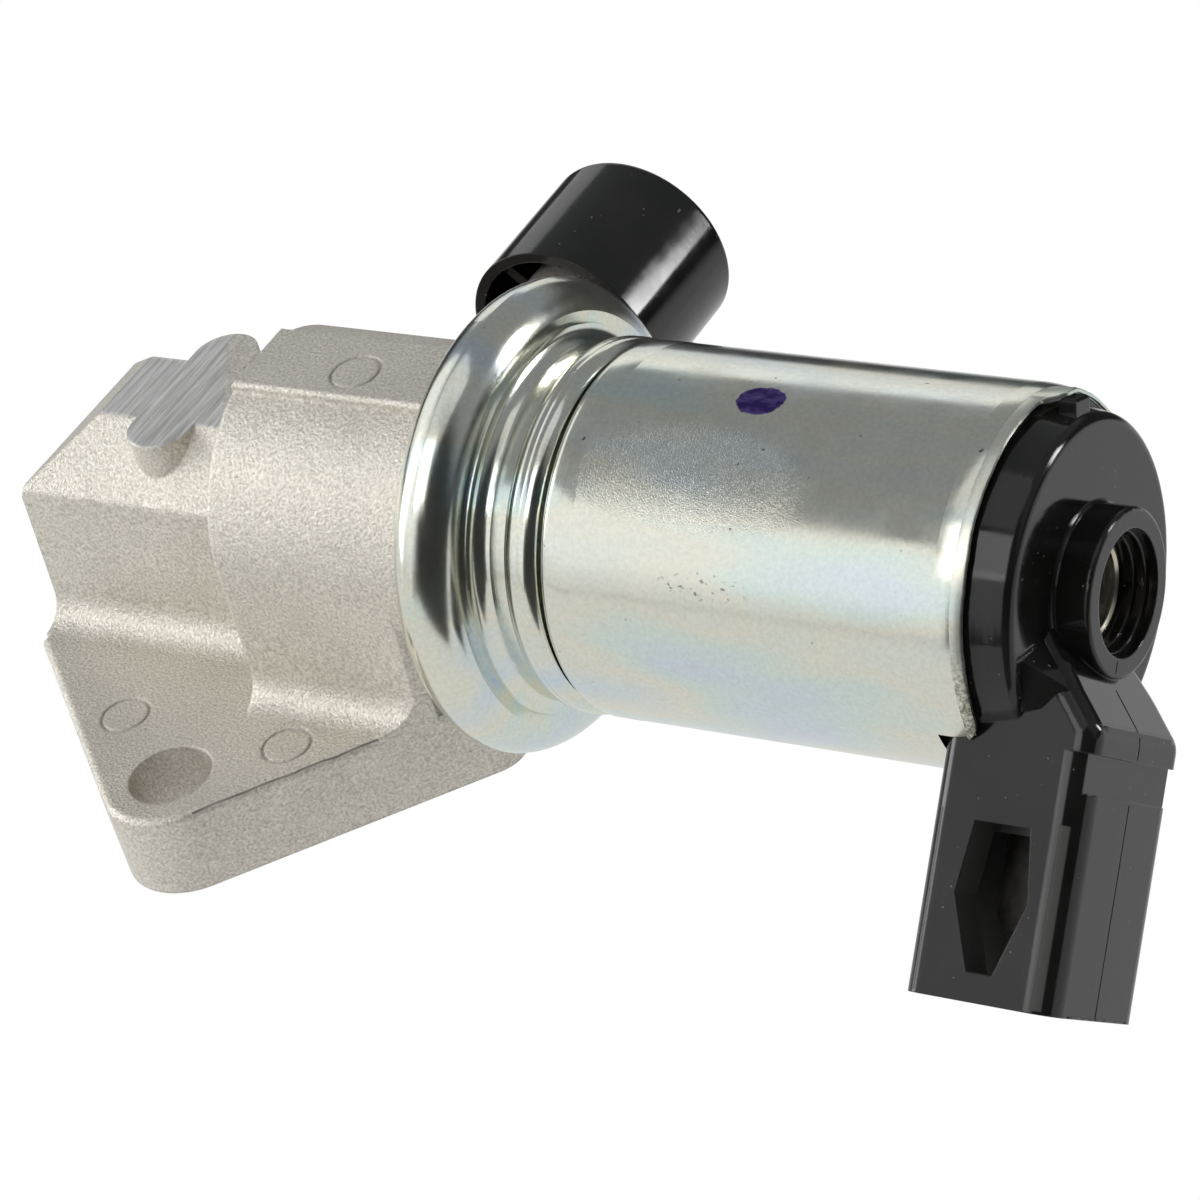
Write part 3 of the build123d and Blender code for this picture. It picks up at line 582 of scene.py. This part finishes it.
def end_piece(piece, name, finish, sharp=40):
    """Turns the faces outwards, shades the piece and lets it ride on the housing."""
    edit_all()
    bpy.ops.mesh.normals_make_consistent(inside=False)
    bpy.ops.object.mode_set(mode="OBJECT")
    bpy.ops.object.shade_smooth_by_angle(angle=math.radians(sharp))
    piece.name = piece.data.name = name
    piece.data.materials.append(finish)
    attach(piece, "housing")
    print(name, "has", len(piece.data.polygons), "faces")
    return piece


def wander(value, seed, size):
    """Smooth random number within about plus or minus the size."""
    return size * smooth_noise.noise(Vector((value, seed, 0.5)))


# %% [markdown]
# Rings are spun, as a lathe would cut them: the section is the outline of a circle
# primitive whose points are moved to (x, radius), and the Spin operator sweeps it round
# the solenoid axis. Angles are counted from the front of the can upwards. A part turn is
# closed at both ends. Afterwards, shift may move each point, which makes a worked edge
# uneven in a way that a lathe cannot.


# %% Turned pieces
def round_axis(x, r, angle):
    turn = math.radians(angle)
    return Vector((x * MM, -r * math.cos(turn) * MM, AXIS_Z + r * math.sin(turn) * MM))


def turned(name, profile, finish, start=0, end=360, steps=240, shift=None, sharp=40):
    """Spins a closed section of (x, radius) in millimetres round the axis."""
    piece = start_piece(bpy.ops.mesh.primitive_circle_add, vertices=len(profile))
    for vertex, (x, r) in zip(piece.data.vertices, profile):
        vertex.co = round_axis(x, r, start)
    edit_all()
    bpy.ops.mesh.spin(steps=steps, angle=math.radians(end - start),
                      center=(0, 0, AXIS_Z), axis=(1, 0, 0))
    if end - start < 360:
        bpy.ops.mesh.select_all(action="SELECT")
        bpy.ops.mesh.fill_holes(sides=0)
    bpy.ops.object.mode_set(mode="OBJECT")
    if shift:
        for number, vertex in enumerate(piece.data.vertices):
            step, index = divmod(number, len(profile))
            angle = start + (end - start) * step / steps
            dx, dr = shift(angle, index)
            x, r = profile[index]
            vertex.co = round_axis(x + dx, r + dr, angle)
    return end_piece(piece, name, finish, sharp)


def arc(centre_x, centre_r, radius, first, last, steps=6):
    """Points of an arc in the (x, radius) plane, between two angles in degrees."""
    turns = [math.radians(first + (last - first) * step / steps) for step in range(steps + 1)]
    return [(centre_x + radius * math.cos(turn), centre_r + radius * math.sin(turn))
            for turn in turns]


# %% [markdown]
# Mould seams and flash are ridges of a tenth of a millimetre. They could be painted on,
# but then they would cast no shadow and the STL would lack them. A grid of five columns
# is laid along the seam and rolled into a four-sided bar: the first and last column meet
# and are merged, and the two ends are filled.

# %% Ridges
RIDGE_SINK = 0.04
RIDGE_CROWN = 0.4


def ridge(name, spots, width, height, finish, slot, ragged=0.0):
    """Bar along spots, each a place and its normal; ragged makes its height uneven."""
    bar = start_piece(bpy.ops.mesh.primitive_grid_add,
                      x_subdivisions=4, y_subdivisions=len(spots) - 1)
    for count, (place, normal) in enumerate(spots):
        after = spots[min(count + 1, len(spots) - 1)][0]
        before = spots[max(count - 1, 0)][0]
        side = normal.cross(after - before).normalized() * width * MM / 2
        rise = height + ragged / 2 + wander(count * 0.37, 3.1, ragged)
        low = place - normal * RIDGE_SINK * MM
        top = place + normal * rise * MM
        section = (low - side, top - side * RIDGE_CROWN, top + side * RIDGE_CROWN,
                   low + side, low - side)
        for column, corner in enumerate(section):
            bar.data.vertices[count * len(section) + column].co = corner
    edit_all()
    bpy.ops.mesh.remove_doubles(threshold=0.001 * MM)
    bpy.ops.mesh.select_all(action="SELECT")
    bpy.ops.mesh.fill_holes(sides=4)
    bpy.ops.object.mode_set(mode="OBJECT")
    return end_piece(bar, name, finish)


# %% [markdown]
# ## The can's two ends
# The can is drawn from sheet. Its front shoulder fills most of the groove behind the
# collar's bead. At the rear its edge is rolled in over the moulding: it is thin, uneven
# and mottled, it lifts over the locating lug, and it stops at the notch for the
# connector. Both follow the axis, so both are spun.

# %% Front shoulder
shoulder = [(FRONT_X, 15.9), (FRONT_X, 16.55)]
shoulder += arc(FRONT_X + 1.1, 16.6, 1.1, 180, 90, 8)
shoulder += [(FRONT_X + 3.4, CAN_R + 0.03), (FRONT_X + 3.8, CAN_R - 0.04),
             (FRONT_X + 2.0, CAN_R - 1.2)]
turned("can_shoulder", shoulder, zinc_can)

# %% Rolled rear edge
LUG_ANGLE, LUG_SPREAD, LUG_LIFT = 114.0, 5.5, 2.1
NOTCH_START, NOTCH_END = -77.0, -13.0
FLARE_SPREAD = 2.5
ROOT_POINTS = (0, 5)


def rim_shift(angle, index):
    """Uneven rolled edge, lifted over the lug and flared where the notch begins."""
    if index in ROOT_POINTS:
        return 0, 0
    over_lug = math.exp(-(((angle - LUG_ANGLE) / LUG_SPREAD) ** 4))
    flare = math.exp(-max(0, angle - NOTCH_END) / FLARE_SPREAD)
    dx = wander(angle * 0.05, 1.0, 0.14) + wander(angle * 0.5, 2.0, 0.04)
    dx += LUG_LIFT * over_lug - 0.9 * flare
    dr = wander(angle * 0.13, 4.0, 0.05) + 0.50 * over_lug + 0.3 * flare
    return dx, dr


rim = [(REAR_X - 0.9, CAN_R - 0.22), (REAR_X + 0.28, CAN_R - 0.27), (REAR_X + 0.42, CAN_R - 0.36),
       (REAR_X + 0.44, CAN_R - 0.62), (REAR_X + 0.2, CAN_R - 0.66), (REAR_X - 0.9, CAN_R - 0.6)]
rolled_zinc = zinc_plate("rolled_zinc", mottled=True)
turned("can_rolled_edge", rim, rolled_zinc,
       NOTCH_END, NOTCH_START + 360, 300, rim_shift)

# %% [markdown]
# Behind the rolled edge the moulding's plug shows as a black ring in the gap. Only its
# edge is seen, so a spun ring with a plain square section is enough.

# %% Plug edge
PLUG_IN, PLUG_OUT = 16.2, 17.0
plug = [(REAR_X - 0.3, PLUG_IN), (REAR_X + 0.02, PLUG_IN), (REAR_X + 0.02, PLUG_OUT),
        (REAR_X - 0.3, PLUG_OUT)]
turned("cap_plug_edge", plug, nylon_black, NOTCH_END, NOTCH_START + 360)

# %% [markdown]
# ## The boss of the end cap
# A small fillet runs round the root of the boss, and its hole is stepped. At the bottom
# sits the bright turned mouth of the fixed core, which stands here for the plain core of
# the CAD, because its chamfers and lip catch the light in the hole. All of it is round,
# so it is spun like the rims; a fillet made with the Bevel modifier would change the CAD.

# %% Boss
BOSS_R, CAP_FRONT_X, BOSS_FRONT_X = 7.7, 88.2, 91.8
ROOT_R = 0.35
root = arc(CAP_FRONT_X + ROOT_R, BOSS_R + ROOT_R, ROOT_R, 180, 270)
root = [(CAP_FRONT_X - 0.2, BOSS_R + ROOT_R)] + root
root += [(CAP_FRONT_X + ROOT_R, BOSS_R - 0.2), (CAP_FRONT_X - 0.2, BOSS_R - 0.2)]
turned("boss_root", root, nylon_black, sharp=70)

STEP_OUT_X, STEP_IN_X = BOSS_FRONT_X - 1.0, BOSS_FRONT_X - 2.0
outer_step = [(STEP_OUT_X - 1.4, 5.9), (STEP_OUT_X, 5.9), (STEP_OUT_X, 5.45),
              (STEP_OUT_X - 0.12, 5.33), (STEP_OUT_X - 1.4, 5.33)]
turned("boss_step", outer_step, nylon_black)
inner_step = [(STEP_IN_X - 1.4, 5.38), (STEP_IN_X, 5.38), (STEP_IN_X, 5.05),
              (STEP_IN_X - 0.1, 4.95), (STEP_IN_X - 1.4, 4.95)]
turned("boss_seat", inner_step, nylon_black)

# %% Mouth of the fixed core
TAIL_X, CORE_START_X, CORE_STEP_X = 88.6, 68.0, 80.4
core = [(CORE_START_X, 3.2), (CORE_START_X, 6.3), (CORE_STEP_X, 6.3), (CORE_STEP_X, 5.0),
        (TAIL_X - 0.3, 5.0), (TAIL_X, 4.7), (TAIL_X, 4.45), (TAIL_X - 0.25, 4.2),
        (TAIL_X - 1.9, 4.2), (TAIL_X - 2.1, 3.9), (TAIL_X - 2.1, 3.2)]
core_bronze = plain_metal("core_bright", (0.46, 0.41, 0.32), (0.74, 0.69, 0.58), 0.24)
fixed_core = turned("core_turned", core, core_bronze)
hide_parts("fixed_core")

# %% [markdown]
# ## Places on the connector
# The shell leans 45 degrees, so its marks are easier to give as distances down and out
# from the solenoid axis. A ray along -X from in front finds where such a place lies on
# the moulding, and which way the surface faces there.

# %% Connector places
DOWN = Vector((0, -HALF_RIGHT_ANGLE, -HALF_RIGHT_ANGLE))
OUT = Vector((0, -HALF_RIGHT_ANGLE, HALF_RIGHT_ANGLE))
RAY_START_X = 130

cap_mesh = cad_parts["end_cap"].data
cap_tree = BVHTree.FromPolygons([v.co for v in cap_mesh.vertices],
                                [p.vertices for p in cap_mesh.polygons])


def connector_point(x, down, out):
    return Vector((x * MM, 0, AXIS_Z)) + (DOWN * down + OUT * out) * MM


def cap_surface(down, out):
    """First point of the moulding that the ray meets, and the normal there."""
    start = connector_point(RAY_START_X, down, out)
    place, normal, index, distance = cap_tree.ray_cast(start, Vector((-1, 0, 0)))
    return place, normal


# %% [markdown]
# ## Side webs of the connector
# Two small webs stiffen the flared neck below the boss. Each is a solid with flat faces,
# so its corners are set as the points of a circle primitive, and the Convex Hull operator
# wraps them. An extrusion would keep the same section all along, but these webs taper.
# The two are mirror images across the connector.

# %% Side webs
WEB_ROOT = ((4.55, 6.4), (7.6, 11.4), (11.95, 9.7), (11.95, 6.4))
WEB_TIP = ((91.9, 9.4, 8.95), (90.4, 11.2, 9.0), (91.5, 9.6, 6.4))
WEB_SHARP = 25
web_corners = [(CAP_FRONT_X - 0.15, down, out) for down, out in WEB_ROOT] + list(WEB_TIP)
for side, web_name in ((1, "web_near"), (-1, "web_far")):
    web = start_piece(bpy.ops.mesh.primitive_circle_add, vertices=len(web_corners))
    for vertex, (x, down, out) in zip(web.data.vertices, web_corners):
        vertex.co = connector_point(x, down, side * out)
    edit_all()
    bpy.ops.mesh.convex_hull(join_triangles=False)
    end_piece(web, web_name, nylon_black, WEB_SHARP)

# %% [markdown]
# ## Parting line and flash
# The halves of the mould met in the middle of the connector. The seam runs down the boss,
# the neck and the shell, and a little flash is left at the open end. By hand, a
# Shrinkwrap modifier could lay a strip on the moulding. Here rays find the surface, which
# also gives the direction in which the ridge has to stand out.

# %% Parting line and flash
SEAM_SIZE = {"width": 0.16, "height": 0.05}
FLASH_SIZE = {"width": 0.22, "height": 0.04, "ragged": 0.16}


def stations(start, end, step=0.5):
    """Evenly spaced places on the moulding between two of (down, out)."""
    count = max(2, math.ceil(math.dist(start, end) / step))
    shares = [index / count for index in range(count + 1)]
    return [cap_surface(start[0] + (end[0] - start[0]) * share,
                        start[1] + (end[1] - start[1]) * share) for share in shares]


for name, spots, size in (("parting_boss", stations((6.0, 0), (7.5, 0)), SEAM_SIZE),
                          ("parting_neck", stations((8.6, 0), (14.4, 0)), SEAM_SIZE),
                          ("tip_flash", stations((37.38, 5.5), (37.38, -6.2), 0.22), FLASH_SIZE),
                          ("parting_shell", stations((18.4, 0), (37.3, 0)), SEAM_SIZE)):
    ridge(name, spots, finish=nylon_black, slot="black_plastic", **size)

# %% [markdown]
# ## Marks on the casting
# The flat pad on the round block runs on until it sinks into the cove below the flange.
# Its section is the outline of a filled circle primitive, extruded along X. It stands a
# hundredth of a millimetre proud of the CAD's pad, so that the two tops do not fight.

# %% End of the pad
PAD_START_X, PAD_DEEP_X = 20.4, 27.0
PAD_FRONT_Y, PAD_BACK_Y = -4.915, 4.415
PAD_TOP, PAD_FOOT = 15.715, 14.215
PAD_CHAMFER = 0.35
pad_section = ((PAD_FRONT_Y, PAD_FOOT), (PAD_FRONT_Y, PAD_TOP - PAD_CHAMFER),
               (PAD_FRONT_Y + PAD_CHAMFER, PAD_TOP), (PAD_BACK_Y - PAD_CHAMFER, PAD_TOP),
               (PAD_BACK_Y, PAD_TOP - PAD_CHAMFER), (PAD_BACK_Y, PAD_FOOT))
pad_end = start_piece(bpy.ops.mesh.primitive_circle_add,
                      vertices=len(pad_section), fill_type="NGON")
for vertex, (y, lift) in zip(pad_end.data.vertices, pad_section):
    vertex.co = (PAD_START_X * MM, y * MM, AXIS_Z + lift * MM)
edit_all()
pad_length = (PAD_DEEP_X - PAD_START_X) * MM
bpy.ops.mesh.extrude_region_move(TRANSFORM_OT_translate={"value": (pad_length, 0, 0)})
bpy.ops.object.mode_set(mode="OBJECT")
end_piece(pad_end, "pad_end", cast_finish, sharp=25)

# %% [markdown]
# Along the plate's front edge the two halves of the die met. The seam is a thin ridge on
# the middle of the rounded edge, coloured dark as painted shade for the shadow under its flash.

# %% Seam of the plate
SEAM_START, SEAM_END = Vector((5.4, -32.8, PLATE_TOP)), Vector((25.2, -12.0, PLATE_TOP))
SEAM_OUTWARD = Vector((0.7246, -0.6891, 0))
SEAM_STEPS = 80
PLATE_ROUND = 0.8
UP = Vector((0, 0, 1))
# Painted shade: the seam's dark colour stands for the shadow along the plate's edge.
seam_painted_shade = soft_material("seam_painted_shade", (0.10, 0.088, 0.07), (0.24, 0.215, 0.18), 0.6)
seam_inset = PLATE_ROUND * (1 - HALF_RIGHT_ANGLE)
seam_spots = []
for index in range(SEAM_STEPS + 1):
    place = SEAM_START.lerp(SEAM_END, index / SEAM_STEPS) - seam_inset * (SEAM_OUTWARD + UP)
    place += wander(index * 0.21, 7.0, 0.12) * (SEAM_OUTWARD - UP) * 0.5
    seam_spots.append((place * MM, (SEAM_OUTWARD + UP).normalized()))
ridge("plate_seam", seam_spots, 0.24, 0.03, seam_painted_shade, "cast_aluminium", ragged=0.05)

# %% [markdown]
# ## Camera
# The camera stands where the photograph was taken from: in front of the connector end,
# above, with a small roll. Its place and lens were solved from the can's circles and the
# plate's straight edges.

# %% Camera
CAMERA_PLACE = Vector((277.7, -292.3, 283.4)) * MM
CAMERA_AIM = Vector((36.4, -3.0, 16.0)) * MM
CAMERA_ROLL = -17.6
CAMERA_LENS = 147.1


def look_from(item, place, aim):
    """Puts an object at a place with its front, -Z, towards the aim."""
    item.location = place
    item.rotation_mode = "QUATERNION"
    item.rotation_quaternion = (aim - Vector(place)).to_track_quat("-Z", "Y")
    bpy.context.scene.collection.objects.link(item)


camera_data = bpy.data.cameras.new("camera")
camera_data.lens = CAMERA_LENS
camera_data.sensor_width = 36
camera_data.clip_end = 20
camera = bpy.data.objects.new("camera", camera_data)
look_from(camera, CAMERA_PLACE, CAMERA_AIM)
roll = Matrix.Rotation(math.radians(CAMERA_ROLL), 3, "Z").to_quaternion()
camera.rotation_quaternion = camera.rotation_quaternion @ roll
bpy.context.scene.camera = camera
print("Camera at", [round(value, 4) for value in camera.location])

# %% [markdown]
# ## Light
# Soft boxes stand round the part, as in a small product studio. Bright metal shows mostly
# what it reflects, so each box was placed where the photograph shows a highlight: the
# wall fills the front of the can, the strip edges the collar, and the rim light gives the
# streak on the black cap. The key lights the casting but is left out of reflections.

# %% Light
LIGHTS = (
    # name, place, width and height in metres, power in watts, seen in reflections
    ("wall", (-0.46, -0.73, 0.40), 1.14, 0.84, 2.33, True),
    ("key", (-0.36, -0.72, 0.52), 0.30, 0.30, 4.0, False),
    ("overhead", (0.06, -0.60, 0.82), 0.50, 0.50, 1.7, True),
    ("top", (0.17, -0.04, 0.92), 0.66, 0.66, 0.66, True),
    ("left", (-0.92, 0.02, 0.50), 0.90, 0.84, 1.9, True),
    ("strip", (-0.95, -0.30, 0.26), 0.36, 0.70, 3.2, True),
    ("back", (-0.45, 0.80, 0.19), 0.60, 0.44, 0.62, True),
    ("rim", (0.84, 0.69, 0.18), 0.15, 0.40, 3.4, True),
)
LIGHT_AIM = Vector((30, 0, 20)) * MM

for name, place, width, height, power, in_reflections in LIGHTS:
    data = bpy.data.lights.new(name, "AREA")
    data.shape = "RECTANGLE"
    data.size, data.size_y = width, height
    data.energy = power
    light = bpy.data.objects.new(name, data)
    look_from(light, place, LIGHT_AIM)
    light.visible_glossy = in_reflections
print("Lights:", len(LIGHTS))

# %% [markdown]
# ## Floor
# The floor looks white to the camera, but it must not light the part as strongly as a
# white-hot sheet would. The Light Path node tells the rays apart: the camera gets white,
# reflections get a pale grey that turns dark towards the camera and far back, as in a
# real studio where the room is dark, and everything else gets a plain diffuse floor.

# %% Floor
FLOOR_Z = cad_box[0].z - 4 * MM
FLOOR_IN_REFLECTIONS, DARK_ROOM = 0.78, 0.05
DARK_FLOOR_X, DARK_FLOOR_Y = 84.0, -56.0
FLOOR_BACK_Y = 95.0
DARK_FLOOR_EDGE = 13.0


def floor_glow(tree):
    """Grey that the floor shows in reflections."""
    x, y, z = xyz(tree, millimetres(tree))
    right = smooth_step(tree, x, DARK_FLOOR_X, DARK_FLOOR_X + DARK_FLOOR_EDGE)
    front = smooth_step(tree, y, DARK_FLOOR_Y, DARK_FLOOR_Y - DARK_FLOOR_EDGE)
    back = smooth_step(tree, y, FLOOR_BACK_Y, FLOOR_BACK_Y + 4 * DARK_FLOOR_EDGE)
    dark = maths(tree, "MAXIMUM", maths(tree, "MULTIPLY", right, front), back)
    return mix_colour(tree, dark, (FLOOR_IN_REFLECTIONS,) * 3, (DARK_ROOM,) * 3)


def by_ray(tree, layers, base):
    """Puts one shader over another for each kind of ray, and returns the last mix."""
    path = tree.nodes.new("ShaderNodeLightPath")
    for ray, shader in layers:
        layer = tree.nodes.new("ShaderNodeMixShader")
        tree.links.new(path.outputs[ray], layer.inputs[0])
        tree.links.new(base, layer.inputs[1])
        tree.links.new(shader, layer.inputs[2])
        base = layer.outputs[0]
    return base


def glow(tree, colour):
    node = tree.nodes.new("ShaderNodeEmission")
    feed(tree, node.inputs["Color"], colour)
    return node.outputs[0]


floor = start_piece(bpy.ops.mesh.primitive_plane_add, size=3)
floor.location = (0, 0, FLOOR_Z)
floor.name = "floor"
floor_material, tree, shader = new_material("floor")
feed(tree, shader.inputs["Base Color"], (0.85, 0.85, 0.85))
feed(tree, shader.inputs["Roughness"], 0.9)
floor_layers = (("Is Glossy Ray", glow(tree, floor_glow(tree))),
                ("Is Camera Ray", glow(tree, (1, 1, 1))))
tree.links.new(by_ray(tree, floor_layers, shader.outputs[0]),
               tree.nodes["Material Output"].inputs["Surface"])
floor.data.materials.append(floor_material)

# %% [markdown]
# ## World
# The world is white to the camera and a soft grey for diffuse light. In reflections it is
# dark near the horizon and on the camera's side, which gives the plated metal its dark
# lines, and brighter above.

# %% World
SKY_COLOUR = (0.92, 0.95, 1.0)
SKY_LIGHT, SKY_LOW, SKY_HIGH = 0.30, 0.04, 0.25


def background(tree, colour, strength):
    node = tree.nodes.new("ShaderNodeBackground")
    feed(tree, node.inputs["Color"], colour)
    feed(tree, node.inputs["Strength"], strength)
    return node.outputs[0]


world = bpy.data.worlds.new("studio")
world.use_nodes = True
bpy.context.scene.world = world
tree = world.node_tree
sky_x, sky_y, sky_z = xyz(tree, tree.nodes.new("ShaderNodeTexCoord").outputs["Generated"])
camera_side = maths(tree, "MULTIPLY", smooth_step(tree, sky_x, -0.05, 0.22),
                    smooth_step(tree, sky_y, 0.10, -0.25))
above = maths(tree, "MULTIPLY", smooth_step(tree, sky_z, 0.04, 0.32),
              maths(tree, "SUBTRACT", 1, camera_side))
reflected = maths(tree, "ADD", maths(tree, "MULTIPLY", above, SKY_HIGH), SKY_LOW)
world_layers = (("Is Glossy Ray", background(tree, SKY_COLOUR, reflected)),
                ("Is Camera Ray", background(tree, (1, 1, 1), 1.0)))
tree.links.new(by_ray(tree, world_layers, background(tree, SKY_COLOUR, SKY_LIGHT)),
               tree.nodes["World Output"].inputs["Surface"])
bpy.context.scene.view_settings.view_transform = "Standard"
